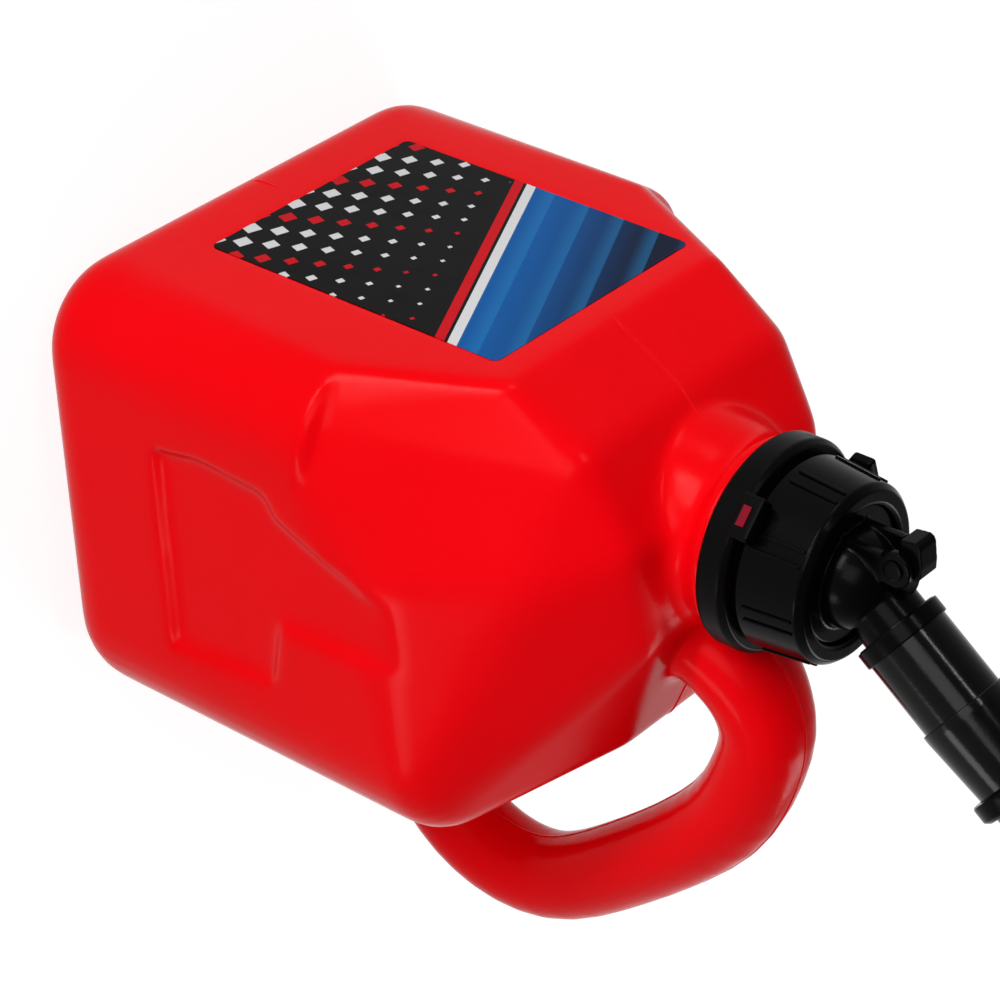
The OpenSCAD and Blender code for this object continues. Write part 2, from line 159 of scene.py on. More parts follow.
# %% The skin laid into a material
def lay_skin(tree, shader, peel, cloud, rough, rub, bump, depth):
    """Rubbed patches lift the roughness, and the peel makes a bump of that depth in metres."""
    make, wire = tree.nodes.new, tree.links.new
    skin = make("ShaderNodeGroup")
    skin.node_tree = moulded_skin
    skin.inputs["Peel Scale"].default_value = peel
    skin.inputs["Cloud Scale"].default_value = cloud
    rise = make("ShaderNodeMapRange")
    set_range(rise, "To", rough, rough + rub)
    wire(skin.outputs["Rub"], rise.inputs["Value"])
    wire(rise.outputs["Result"], shader.inputs["Roughness"])
    relief = make("ShaderNodeBump")
    relief.inputs["Strength"].default_value = bump
    relief.inputs["Distance"].default_value = depth
    wire(skin.outputs["Height"], relief.inputs["Height"])
    wire(relief.outputs["Normal"], shader.inputs["Normal"])
    return skin


# %% A finish from two colours and the shared skin
# sockets of a Mix node that mixes colours
MIX_SHARE, MIX_UNDER, MIX_OVER, MIX_RESULT = 0, 6, 7, 2
PEEL_DEPTH = 0.4 * MM


def finish(name, dark, light, rough, rub, bump, peel, cloud, specular, metal=0.0):
    material = bpy.data.materials.new(name)
    material.use_nodes = True
    tree = material.node_tree
    shader = tree.nodes["Principled BSDF"]
    shader.inputs["Metallic"].default_value = metal
    shader.inputs["Specular IOR Level"].default_value = specular
    skin = lay_skin(tree, shader, peel, cloud, rough, rub, bump, PEEL_DEPTH)
    mix = tree.nodes.new("ShaderNodeMix")
    mix.data_type = "RGBA"
    mix.inputs[MIX_UNDER].default_value = (*dark, 1)
    mix.inputs[MIX_OVER].default_value = (*light, 1)
    tree.links.new(skin.outputs["Cloud"], mix.inputs[MIX_SHARE])
    tree.links.new(mix.outputs[MIX_RESULT], shader.inputs["Base Color"])
    return material


# %% The finishes of this can
red_tank = finish("red_tank", (0.71, 0.0004, 0.002), (0.79, 0.0010, 0.005), rough=0.20, rub=0.05,
                  bump=0.10, peel=620, cloud=11, specular=0.035)
# The keys' own red, darkened far below the tank's red as painted shade of the windows they sit in.
red_key_painted_shade = finish("red_key_painted_shade", (0.15, 0.002, 0.010), (0.21, 0.004, 0.016), rough=0.30, rub=0.10,
                 bump=0.08, peel=900, cloud=60, specular=0.10)
black_collar = finish("black_collar", (0.0007, 0.0007, 0.0008), (0.0014, 0.0014, 0.0015), rough=0.20,
                      rub=0.12, bump=0.10, peel=900, cloud=40, specular=0.04)
black_ring = finish("black_ring", (0.0010, 0.0009, 0.0009), (0.0019, 0.0017, 0.0017), rough=0.32, rub=0.12,
                    bump=0.14, peel=1000, cloud=40, specular=0.04)
black_tube = finish("black_tube", (0.0006, 0.0006, 0.0008), (0.0012, 0.0012, 0.0015), rough=0.15, rub=0.06,
                    bump=0.06, peel=800, cloud=30, specular=0.13)
seal_rubber = finish("seal_rubber", (0.012, 0.012, 0.012), (0.020, 0.020, 0.019), rough=0.70, rub=0.12,
                     bump=0.20, peel=1400, cloud=80, specular=0.2)
steel = finish("steel", (0.50, 0.50, 0.51), (0.60, 0.60, 0.61), rough=0.26, rub=0.14,
               bump=0.05, peel=2400, cloud=120, specular=0.5, metal=1.0)
finishes = (red_tank, red_key_painted_shade, black_collar, black_ring, black_tube, seal_rubber, steel)
print("finishes:", [material.name for material in finishes])

# %% [markdown]
# ## Tools for turned and lofted pieces
# Most black pieces are turned shapes. A closed outline of radius and height is drawn with its corners eased,
# because a moulded corner catches the light, and is then spun around its axis. Lugs and ribs are lofts of
# rounded rectangles. Outlines and loops are written in millimetres, and each point of an outline is a radius,
# a height and the ease of its corner.

# %% Eased outlines and turned pieces
EDGE_SHARE = 0.45


def eased(outline, arc=4):
    """The closed outline with each corner drawn as a small curve that starts at its ease from it."""
    out = []
    for i, (r, z, ease) in enumerate(outline):
        corner = Vector((r, z))
        before = Vector(outline[i - 1][:2]) - corner
        after = Vector(outline[(i + 1) % len(outline)][:2]) - corner
        a = corner + before.normalized() * min(ease, EDGE_SHARE * before.length)
        b = corner + after.normalized() * min(ease, EDGE_SHARE * after.length)
        for k in range(arc + 1):
            t = k / arc
            out.append(a * (1 - t) ** 2 + corner * (2 * t * (1 - t)) + b * t * t)
    return out


def add_turned(bm, outline, steps):
    points = eased(outline)
    count = len(points)
    rings = []
    for k in range(steps):
        c, s = math.cos(math.tau * k / steps), math.sin(math.tau * k / steps)
        rings.append([bm.verts.new((r * c * MM, r * s * MM, z * MM)) for r, z in points])
    for k in range(steps):
        one, two = rings[k], rings[(k + 1) % steps]
        for j in range(count):
            bm.faces.new((one[j], two[j], two[(j + 1) % count], one[(j + 1) % count]))


# %% Lofts of rounded rectangles
LEAST_RADIUS = 0.02
RADIUS_SHARE = 0.98


def add_loft(bm, loops, place):
    rows = [[bm.verts.new(place @ (Vector(p) * MM)) for p in loop] for loop in loops]
    count = len(rows[0])
    for one, two in zip(rows, rows[1:]):
        for j in range(count):
            bm.faces.new((one[j], one[(j + 1) % count], two[(j + 1) % count], two[j]))
    bm.faces.new(rows[0][::-1])
    bm.faces.new(rows[-1])


def rounded_rectangle(half_w, half_h, radius, arc=4):
    """Points of a rounded rectangle in the X-Y plane, counter-clockwise."""
    radius = max(LEAST_RADIUS, min(radius, half_w * RADIUS_SHARE, half_h * RADIUS_SHARE))
    out = []
    for k, (sx, sy) in enumerate(((1, 1), (-1, 1), (-1, -1), (1, -1))):
        middle_x, middle_y = sx * (half_w - radius), sy * (half_h - radius)
        for j in range(arc + 1):
            a = math.pi / 2 * (k + j / arc)
            out.append((middle_x + radius * math.cos(a), middle_y + radius * math.sin(a)))
    return out


def pillow_loops(half_w, half_h, radius, steps):
    """Loops for a loft: each step is (inset, height)."""
    return [[(x, y, height) for x, y in rounded_rectangle(half_w - inset, half_h - inset, radius - inset)]
            for inset, height in steps]


# %% From a mesh to a dressed piece
def dress(piece, material, body, stands_for=(), even=True):
    scene.collection.objects.link(piece)
    piece.data.materials.clear()
    piece.data.materials.append(material)
    piece.data.polygons.foreach_set("use_smooth", [True] * len(piece.data.polygons))
    if even:
        piece.modifiers.new("even_normals", "WEIGHTED_NORMAL").keep_sharp = False
    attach(piece, body)
    if stands_for:
        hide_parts(*stands_for)
    print("%-18s %6d faces on %s" % (piece.name, len(piece.data.polygons), body))
    return piece


def to_piece(bm, name, material, body, stands_for=(), place=None):
    bmesh.ops.recalc_face_normals(bm, faces=bm.faces)
    mesh = bpy.data.meshes.new(name)
    bm.to_mesh(mesh)
    bm.free()
    if place is not None:
        mesh.transform(place)
    return dress(bpy.data.objects.new(name, mesh), material, body, stands_for)


# %% [markdown]
# ## Soft copies of solids
# A blow-moulded tank has no sharp edge anywhere. Bevelling a mesh with thousands of small facets would
# tangle, so the solid is copied, rebuilt on a fine voxel grid and smoothed. The smoothing works in stages
# through vertex groups, so the body can be made softer than the neck, where the ring has to fit, and hollow
# corners can be filled further.

# %% Voxel copy with weighted smoothing
SMOOTH_FACTOR = 0.5


def evaluated_mesh(thing):
    graph = bpy.context.evaluated_depsgraph_get()
    return bpy.data.meshes.new_from_object(thing.evaluated_get(graph))


def soft_mesh(mesh, name, voxel, stages):
    """Each stage is a number of passes and a function for the weight at a point, or None for all alike."""
    thing = bpy.data.objects.new(name, mesh)
    scene.collection.objects.link(thing)
    grid = thing.modifiers.new("grid", "REMESH")
    grid.mode, grid.voxel_size = "VOXEL", voxel
    thing.data = evaluated_mesh(thing)
    thing.modifiers.clear()
    for passes, weight in stages:
        smooth = thing.modifiers.new("smooth", "SMOOTH")
        smooth.factor, smooth.iterations = SMOOTH_FACTOR, passes
        if weight is not None:
            group = thing.vertex_groups.new(name="soft")
            for v in thing.data.vertices:
                group.add([v.index], weight(v.co), "REPLACE")
            smooth.vertex_group = group.name
    result = evaluated_mesh(thing)
    bpy.data.objects.remove(thing)
    return result


# %% [markdown]
# ## The tank
# Only the outside of the tank shows, so its outer skin is cut free at the neck bore, given a deep blind bore
# and then made soft. The body gets more passes than the neck. The foot of the neck and the roots of the
# handle, where a blown handle flows into the body, get more again, and so do the side walls. The shoulder
# gets the most, because the mould has no edge there.

# %% Outer skin of the tank
BORE_REACH = 26.2 * MM
BORE_END_Z = RIM_Z - 75 * MM
BLIND_END_Z = RIM_Z - 68 * MM
WELD = 0.002 * MM


def joined_to(start):
    """All points that edges join to the start."""
    found, queue = {start}, [start]
    while queue:
        for edge in queue.pop().link_edges:
            for v in edge.verts:
                if v not in found:
                    found.add(v)
                    queue.append(v)
    return found


def outer_skin(node):
    bm = bmesh.new()
    bm.from_mesh(nodes[node].data)
    bmesh.ops.remove_doubles(bm, verts=bm.verts, dist=WELD)
    in_bore = [face for face in bm.faces
               if all(from_neck_axis(v.co) < BORE_REACH and v.co.z > BORE_END_Z for v in face.verts)]
    bmesh.ops.delete(bm, geom=in_bore, context="FACES")
    outside = joined_to(min(bm.verts, key=lambda v: v.co.z))
    bmesh.ops.delete(bm, geom=[v for v in bm.verts if v not in outside], context="VERTS")
    rim = [e for e in bm.edges if e.is_boundary]
    for made in bmesh.ops.extrude_edge_only(bm, edges=rim)["geom"]:
        if isinstance(made, bmesh.types.BMVert):
            made.co.z = BLIND_END_Z
    bmesh.ops.holes_fill(bm, edges=[e for e in bm.edges if e.is_boundary], sides=0)
    mesh = bpy.data.meshes.new("tank_skin")
    bm.to_mesh(mesh)
    print("outer skin:", len(bm.verts), "points, open edges:", sum(e.is_boundary for e in bm.edges))
    bm.free()
    return mesh


# %% Where the tank is made soft
NECK_KEEP_R = 40 * MM
NECK_KEEP_Z = RIM_Z - 40 * MM
NECK_WEIGHT = 0.12
FLOW_GAIN, FLANK_GAIN, SHOULDER_GAIN = 1.6, 5, 2.5


def near(value, middle, reach):
    """One at the middle, falling smoothly to nothing at that reach, both in mm. The value is in metres."""
    t = max(0.0, 1 - abs(value - middle * MM) / (reach * MM))
    return t * t * (3 - 2 * t)


def body_softness(point):
    """Full weight on the body and little on the neck."""
    on_neck = from_neck_axis(point) < NECK_KEEP_R and point.z > NECK_KEEP_Z
    return NECK_WEIGHT if on_neck else 1.0


def flow_softness(point):
    """Weight of the hollow corners: the foot of the neck and the two roots of the handle."""
    above_rim = point.z - RIM_Z
    foot = near(from_neck_axis(point), 42, 16) * near(above_rim, -46, 14)
    upper_root = near(point.y, 48, 34) * near(above_rim, -52, 26)
    lower_root = near(point.y, 96, 22) * near(point.z, 80, 34)
    return min(1.0, FLOW_GAIN * max(foot, upper_root, lower_root) * near(point.x, 0, 70))


def flank_softness(point):
    """Weight of the side walls with their pressed panels, ahead of the rear corners."""
    side = near(abs(point.x), 112, 58)
    return min(1.0, FLANK_GAIN * side * near(point.y, 6, 74) * near(point.z, 130, 98))


def shoulder_softness(point):
    """Weight of the shoulder between hood and side wall."""
    across = near(abs(point.x), 78, 48)
    return min(1.0, SHOULDER_GAIN * across * near(point.y, -8, 62) * near(point.z, 222, 48))


# %% The soft tank
TANK_VOXEL = 1.4 * MM
tank_stages = [(14, body_softness), (60, flow_softness), (34, flank_softness), (200, shoulder_softness)]
tank_mesh = soft_mesh(outer_skin("tank"), "tank_grid", TANK_VOXEL, tank_stages)
tank_shell = bpy.data.objects.new("tank_shell", tank_mesh)
dress(tank_shell, red_tank, "can", ["tank"], even=False)

# %% [markdown]
# ## The mould seam
# Two mould halves meet on the middle plane of the can and leave a fine raised line, seen best between the
# label and the neck. The tank is cut with that plane, and a thin thread follows the cut, sunk so far that
# only its crest shows. It stops at the neck, at the label and above the base.

# %% Runs of the cut that show
label_low, label_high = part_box("front_label")
LABEL_SIDE_Y = -80 * MM
LABEL_MARGIN = 1 * MM
SEAM_NECK_R = 39 * MM
SEAM_NECK_Z = 200 * MM
SEAM_FOOT_Z = 4 * MM
SHORTEST_RUN = 12


def seam_shows(v):
    at_label_height = label_low[2] - LABEL_MARGIN < v.co.z < label_high[2] + LABEL_MARGIN
    behind_label = v.co.y < LABEL_SIDE_Y and at_label_height
    near_neck = from_neck_axis(v.co) < SEAM_NECK_R and v.co.z > SEAM_NECK_Z
    return v.co.z > SEAM_FOOT_Z and not behind_label and not near_neck


def next_edge(v, edges):
    return next((e for e in v.link_edges if e in edges), None)


def take_chain(edges):
    """Take one chain of joined edges out, from its lowest edge on, and give its points in order."""
    first = min(edges, key=lambda e: e.verts[0].co.z + e.verts[1].co.z)
    del edges[first]
    arms = [[v] for v in first.verts]
    for arm in arms:
        while (edge := next_edge(arm[-1], edges)) is not None:
            del edges[edge]
            arm.append(edge.other_vert(arm[-1]))
    return arms[0][::-1] + arms[1]


def seam_runs(mesh):
    """The stretches that show, as lists of a point and the skin's direction there."""
    bm = bmesh.new()
    bm.from_mesh(mesh)
    whole = bm.verts[:] + bm.edges[:] + bm.faces[:]
    cut = bmesh.ops.bisect_plane(bm, geom=whole, plane_co=(0, 0, 0), plane_no=(1, 0, 0))["geom_cut"]
    edges = dict.fromkeys(e for e in cut if isinstance(e, bmesh.types.BMEdge))
    runs = []
    while edges:
        run = []
        for v in take_chain(edges) + [None]:
            if v is not None and seam_shows(v):
                run.append((v.co.copy(), v.normal.copy()))
                continue
            if len(run) > SHORTEST_RUN:
                runs.append(run)
            run = []
    bm.free()
    return runs


# %% Thread along the cut
SEAM_R, SEAM_SINK, SEAM_SIDES = 1.1 * MM, 0.65 * MM, 6
TAPER_STEPS, TIP_SHARE = 6, 0.1


def add_thread(bm, run):
    points = [p - n * SEAM_SINK for p, n in run][::2]
    last = len(points) - 1
    across = Vector((1, 0, 0))
    rows = []
    for i, p in enumerate(points):
        along = (points[min(i + 1, last)] - points[max(i - 1, 0)]).normalized()
        out = along.cross(across)
        grown = min(1.0, i / TAPER_STEPS, (last - i) / TAPER_STEPS)
        radius = SEAM_R * (grown * (1 - TIP_SHARE) + TIP_SHARE)
        angles = [math.tau * k / SEAM_SIDES for k in range(SEAM_SIDES)]
        rows.append([bm.verts.new(p + (across * math.cos(a) + out * math.sin(a)) * radius) for a in angles])
    for one, two in zip(rows, rows[1:]):
        for j in range(SEAM_SIDES):
            k = (j + 1) % SEAM_SIDES
            bm.faces.new((one[j], one[k], two[k], two[j]))
    bm.faces.new(rows[0])
    bm.faces.new(rows[-1][::-1])


seam = bmesh.new()
shown_runs = seam_runs(tank_mesh)
for run in shown_runs:
    add_thread(seam, run)
print("the seam shows in", len(shown_runs), "runs")
to_piece(seam, "mould_seam", red_tank, "can")

# %% [markdown]
# ## The label
# The label is a printed film that sits in a shallow pocket. Its print is a plain design of its own: a
# slanting white and red border between a blue field with soft bands and a black field of diamonds that
# shrink towards the border. It is drawn by a few math nodes on the film's own flat map, in millimetres, so
# the lines stay sharp.

# %% Film with rounded corners and a flat map
FILM_CORNER, FILM_EDGE = 3.0, 0.12
label_w = (label_high[0] - label_low[0]) / MM
label_h = (label_high[2] - label_low[2]) / MM
label_t = (label_high[1] - label_low[1]) / MM
label_back = ((label_low[0] + label_high[0]) / 2, label_high[1], (label_low[2] + label_high[2]) / 2)
film_place = Matrix.Translation(label_back) @ Matrix.Rotation(math.pi / 2, 4, "X")
film_steps = [(0, 0), (0, label_t - FILM_EDGE), (FILM_EDGE, label_t)]
film = bmesh.new()
add_loft(film, pillow_loops(label_w / 2, label_h / 2, FILM_CORNER, film_steps), film_place)
flat = film.loops.layers.uv.new("flat")
for face in film.faces:
    for corner in face.loops:
        right_by, up_by = corner.vert.co.x - label_low[0], corner.vert.co.z - label_low[2]
        corner[flat].uv = (right_by / (label_w * MM), up_by / (label_h * MM))
print("label film %.1f x %.1f mm" % (label_w, label_h))


# %% Drawing with nodes
class Drawing:
    """Sums, soft steps and layers of ink in the nodes of one material."""

    def __init__(self, tree):
        self.make, self.wire = tree.nodes.new, tree.links.new

    def sum_of(self, op, a, b=0.0):
        node = self.make("ShaderNodeMath")
        node.operation = op
        for value, target in zip((a, b), node.inputs):
            if isinstance(value, (int, float)):
                target.default_value = value
            else:
                self.wire(value, target)
        return node.outputs[0]

    def soft_step(self, value, low, high):
        node = self.make("ShaderNodeMapRange")
        node.interpolation_type = "SMOOTHSTEP"
        self.wire(value, node.inputs["Value"])
        set_range(node, "From", low, high)
        return node.outputs["Result"]

    def paint(self, mask, under, over):
        node = self.make("ShaderNodeMix")
        node.data_type = "RGBA"
        self.wire(mask, node.inputs[MIX_SHARE])
        for ink, target in ((under, node.inputs[MIX_UNDER]), (over, node.inputs[MIX_OVER])):
            if isinstance(ink, tuple):
                target.default_value = (*ink, 1)
            else:
                self.wire(ink, target)
        return node.outputs[MIX_RESULT]

    def stripe(self, value, low, high, blur):
        rise = self.soft_step(value, low - blur, low + blur)
        fall = self.soft_step(value, high - blur, high + blur)
        return self.sum_of("SUBTRACT", rise, fall)


# %% Black field of diamonds
SLOPE = 0.5
INK_BLACK, INK_WHITE, INK_RED = (0.0015, 0.0015, 0.0018), (0.60, 0.60, 0.61), (0.50, 0.004, 0.010)
CELL = 12.5
ROW_LEAN = 0.35
LARGE_ROW, SMALL_ROW = -3.0, 5.5
LARGE_DIAMOND, SMALL_DIAMOND = 0.44, 0.10
RED_EVERY, RED_BELOW = 3.0, 0.3


def diamond_field(draw, x, y):
    """Diamonds on a slanting grid that grow towards the lower corner, every third row in red."""
    along = draw.sum_of("DIVIDE", draw.sum_of("ADD", y, draw.sum_of("MULTIPLY", x, -SLOPE)), CELL)
    across = draw.sum_of("DIVIDE", draw.sum_of("ADD", x, draw.sum_of("MULTIPLY", y, SLOPE)), CELL)
    offsets = [draw.sum_of("ABSOLUTE", draw.sum_of("SUBTRACT", draw.sum_of("FRACT", way), 0.5))
               for way in (along, across)]
    row, column = draw.sum_of("FLOOR", along), draw.sum_of("FLOOR", across)
    size = draw.make("ShaderNodeMapRange")
    draw.wire(draw.sum_of("ADD", row, draw.sum_of("MULTIPLY", column, ROW_LEAN)), size.inputs["Value"])
    set_range(size, "From", LARGE_ROW, SMALL_ROW)
    set_range(size, "To", LARGE_DIAMOND, SMALL_DIAMOND)
    diamond = draw.sum_of("LESS_THAN", draw.sum_of("ADD", *offsets), size.outputs["Result"])
    in_three = draw.sum_of("FRACT", draw.sum_of("DIVIDE", column, RED_EVERY))
    red_row = draw.sum_of("LESS_THAN", in_three, RED_BELOW)
    return draw.paint(diamond, INK_BLACK, draw.paint(red_row, INK_WHITE, INK_RED))


# %% Blue field with soft bands
INK_BLUE, INK_NIGHT, INK_GLEAM = (0.004, 0.085, 0.30), (0.0015, 0.006, 0.024), (0.02, 0.20, 0.48)
BLUE_FROM, BLUE_TO = 70.0, 128.0
GLEAM_W, GLEAM_PEAK, GLEAM_END, GLEAM_SHARE = 17.0, 0.5, 0.54, 0.35


def blue_field(draw, slant):
    """Lightest along the border, with bands that follow it."""
    ground = draw.paint(draw.soft_step(slant, BLUE_FROM, BLUE_TO), INK_BLUE, INK_NIGHT)
    wave = draw.sum_of("FRACT", draw.sum_of("DIVIDE", slant, GLEAM_W))
    rise, fall = draw.soft_step(wave, 0.0, GLEAM_PEAK), draw.soft_step(wave, GLEAM_PEAK, GLEAM_END)
    band = draw.sum_of("MULTIPLY", draw.sum_of("SUBTRACT", rise, fall), GLEAM_SHARE)
    return draw.paint(band, ground, INK_GLEAM)


# %% The print of the label
BORDER_TOP, BORDER_BLUR = 67.0, 0.1
FILM_SPECULAR = 0.03
border_stripes = ((55.0, BORDER_TOP, INK_BLACK), (62.5, BORDER_TOP, (0.62, 0.62, 0.63)),
                  (56.5, 61.0, (0.52, 0.004, 0.010)))


def label_print():
    material = bpy.data.materials.new("label_print")
    material.use_nodes = True
    tree = material.node_tree
    shader = tree.nodes["Principled BSDF"]
    shader.inputs["Specular IOR Level"].default_value = FILM_SPECULAR
    draw = Drawing(tree)
    flat_map = draw.make("ShaderNodeUVMap")
    flat_map.uv_map = "flat"
    split = draw.make("ShaderNodeSeparateXYZ")
    draw.wire(flat_map.outputs["UV"], split.inputs[0])
    x = draw.sum_of("MULTIPLY", split.outputs[0], label_w)
    y = draw.sum_of("MULTIPLY", split.outputs[1], label_h)
    slant = draw.sum_of("SUBTRACT", y, draw.sum_of("MULTIPLY", x, SLOPE))
    above_border = draw.soft_step(slant, BORDER_TOP - BORDER_BLUR, BORDER_TOP + BORDER_BLUR)
    ink = draw.paint(above_border, diamond_field(draw, x, y), blue_field(draw, slant))
    for low, high, stripe_ink in border_stripes:
        ink = draw.paint(draw.stripe(slant, low, high, BORDER_BLUR), ink, stripe_ink)
    draw.wire(ink, shader.inputs["Base Color"])
    lay_skin(tree, shader, peel=420, cloud=14, rough=0.30, rub=0.12, bump=0.05, depth=0.3 * MM)
    return material


to_piece(film, "label_film", label_print(), "can", ["front_label"])

# %% [markdown]
# ## The lock ring
# A flat band sits at the foot of the neck. Two lugs rise from it, each a small frame with a window for a red
# key. The band is turned, and each lug is a loft of rounded rectangles that runs over the edge and down into
# the window. Heights are counted from the rim of the neck.

# %% Band of the ring
RING_FOOT, RING_TOP = -30.0, -17.5
RING_FOOT_EDGE, RING_TOP_EDGE = 1.2, 2.4
RING_IN, RING_FOOT_R, RING_R, RING_TOP_R = 32.05, 40.3, 41.5, 39.6
ring_outline = [(RING_IN, RING_FOOT, 0.3), (RING_FOOT_R, RING_FOOT, 0.8),
                (RING_R, RING_FOOT + RING_FOOT_EDGE, 0.8), (RING_R, RING_TOP - RING_TOP_EDGE, 0.9),
                (RING_TOP_R, RING_TOP, 0.7), (RING_IN, RING_TOP, 0.3)]
ring = bmesh.new()
add_turned(ring, ring_outline, steps=160)
print("ring band:", len(ring.faces), "faces")

# %% Lugs with windows
LUG_ANGLES = (46.0, 287.0)
LUG_IN, LUG_OUT, LUG_DEEP = 39.1, 45.5, 3.0
LUG_HALF_W, LUG_HALF_H, LUG_CORNER, LUG_SINK = 8.5, 4.75, 1.4, 1.5
KEY_HALF_W, KEY_HALF_H, KEY_CORNER, KEY_DROP = 4.0, 1.7, 0.4, 0.45
lug_middle = RING_TOP - LUG_SINK + LUG_HALF_H
key_middle = lug_middle - KEY_DROP
lug_steps = [(0, LUG_IN), (0, LUG_OUT - 1.0), (0.3, LUG_OUT - 0.3), (0.9, LUG_OUT)]
window_steps = [(-0.35, LUG_OUT), (0, LUG_OUT - 0.3), (0, LUG_OUT - LUG_DEEP)]
# X around the ring, Y up, Z outwards from the neck
outwards = Matrix(((0, 0, 1, 0), (1, 0, 0, 0), (0, 1, 0, 0), (0, 0, 0, 1)))


def lifted(loops, by):
    return [[(x, y + by, z) for x, y, z in loop] for loop in loops]


lug_loops = lifted(pillow_loops(LUG_HALF_W, LUG_HALF_H, LUG_CORNER, lug_steps), lug_middle)
lug_loops += lifted(pillow_loops(KEY_HALF_W, KEY_HALF_H, KEY_CORNER, window_steps), key_middle)
for angle in LUG_ANGLES:
    add_loft(ring, lug_loops, Matrix.Rotation(math.radians(angle - 90), 4, "Z") @ outwards)
to_piece(ring, "lock_ring_shell", black_ring, "can", ["lock_ring"], neck_place)

# %% [markdown]
# ## The screw collar
# The collar tapers upwards, carries grip ribs in pairs and ends in a broad bevel that catches the light.
# Its outline is turned; each rib is a small rounded bar laid along the taper. The thread ridge of the solid
# is hidden inside, so this shell has a plain bore.

# %% Body of the collar
COLLAR_FOOT, COLLAR_TOP, COLLAR_SEAT = -16.0, 12.0, 7.6
taper_foot, taper_top = COLLAR_FOOT + 1.4, COLLAR_TOP - 2.6
COLLAR_IN, COLLAR_LOW_R, COLLAR_HIGH_R, COLLAR_RIM_R, MOUTH_R = 32.0, 37.2, 34.9, 32.6, 27.0
collar_outline = [(COLLAR_IN, COLLAR_FOOT, 0.3), (COLLAR_LOW_R - 0.8, COLLAR_FOOT, 0.5),
                  (COLLAR_LOW_R, taper_foot, 0.6), (COLLAR_HIGH_R, taper_top, 0.8),
                  (COLLAR_RIM_R, COLLAR_TOP, 0.8), (MOUTH_R + 1.2, COLLAR_TOP, 0.6),
                  (MOUTH_R, COLLAR_TOP - 1.0, 0.6), (MOUTH_R, COLLAR_SEAT, 0.2),
                  (COLLAR_IN, COLLAR_SEAT, 0.3)]
collar = bmesh.new()
add_turned(collar, collar_outline, steps=160)
print("collar body:", len(collar.faces), "faces")

# %% Paired ribs
RIB_PAIRS, RIB_TURN, RIB_SPREAD = 8, 10, 4.5
RIB_R, RIB_HALF_L, RIB_HALF_W, RIB_CORNER = 36.0, 10.2, 0.75, 0.7
rib_steps = [(0, -0.6), (0, 0.45), (0.12, 0.66), (0.36, 0.8)]
rib_loops = pillow_loops(RIB_HALF_L, RIB_HALF_W, RIB_CORNER, rib_steps)
rib_taper = math.atan2(COLLAR_LOW_R - COLLAR_HIGH_R, taper_top - taper_foot)
rib_middle = Matrix.Translation((RIB_R * MM, 0, (COLLAR_FOOT + COLLAR_TOP) / 2 * MM))
rib_lie = rib_middle @ Matrix.Rotation(math.pi / 2 - rib_taper, 4, "Y")
for k in range(RIB_PAIRS):
    for side in (-1, 1):
        angle = 360 / RIB_PAIRS * k + RIB_SPREAD * side + RIB_TURN
        add_loft(collar, rib_loops, Matrix.Rotation(math.radians(angle), 4, "Z") @ rib_lie)
to_piece(collar, "collar_shell", black_collar, "collar", ["screw_collar"], neck_place)

# %% [markdown]
# ## The spout base, the lever and the stop flange
# These have cheeks, bosses and lugs that grow into each other, so soft copies of the solids suit them best.
# The grid is finer than on the tank and the passes are few: corners turn round by about half a millimetre.

# %% Soft copies of the small mouldings
# node, piece, body, voxel and passes
small_mouldings = (("spout_base", "spout_base_shell", "spout", 0.55 * MM, 3),
                   ("trigger", "thumb_lever", "trigger", 0.3 * MM, 5),
                   ("stop_ring", "stop_flange", "spout", 0.42 * MM, 3))
for node, name, body, voxel, passes in small_mouldings:
    soft = soft_mesh(nodes[node].data.copy(), node + "_grid", voxel, [(passes, None)])
    dress(bpy.data.objects.new(name, soft), black_collar, body, [node], even=False)

# %% [markdown]
# ## Tube, band and nozzle
# The tube slides over the socket of the base, a band grips its foot, and the nozzle fits over its upper end
# and tapers to the tip. They are plain turned pieces on the leaning axis; the eased rims make the bright
# edges. Heights are counted along that axis from the point inside the dome.

# %% Turned pieces on the leaning axis
TUBE_R, TUBE_IN, SLEEVE_R, TIP_R, TIP_WALL = 16.5, 14.0, 17.6, 10.5, 2.2
OVER_TUBE = TUBE_R + 0.05
TUBE_FOOT, TUBE_END = 22, 70
BAND_FOOT, BAND_TOP = 22.4, 29
SLEEVE_FOOT, TAPER_FOOT, STOP, TIP = 59.5, 62.5, TUBE_END + 0.05, 174.5
tube_outline = [(TUBE_IN, TUBE_FOOT, 0.5), (TUBE_R, TUBE_FOOT, 0.5), (TUBE_R, TUBE_END, 0.5),
                (TUBE_IN, TUBE_END, 0.5)]
band_outline = [(OVER_TUBE, BAND_FOOT, 0.2), (SLEEVE_R, BAND_FOOT, 0.7), (SLEEVE_R, BAND_TOP, 0.7),
                (OVER_TUBE, BAND_TOP, 0.2)]
nozzle_outline = [(OVER_TUBE, SLEEVE_FOOT, 0.2), (SLEEVE_R, SLEEVE_FOOT, 0.7), (SLEEVE_R, TAPER_FOOT, 0.6),
                  (TIP_R, TIP, 0.9), (TIP_R - TIP_WALL, TIP, 0.9), (TUBE_IN - 0.6, STOP, 0.3),
                  (OVER_TUBE, STOP, 0.2)]
turned_pieces = (("tube_shell", "spout_tube", black_tube, tube_outline),
                 ("tube_band", "tube_ring", black_collar, band_outline),
                 ("nozzle_shell", "nozzle", black_tube, nozzle_outline))
for name, node, material, outline in turned_pieces:
    bm = bmesh.new()
    add_turned(bm, outline, steps=128)
    to_piece(bm, name, material, "spout", [node], spout_place)

# %% [markdown]
# ## The pivot pin
# The pin's heads show on both cheeks. Each head is slightly domed with an eased rim, and the shank runs
# through. Both ends have the same outline, so it is written once.

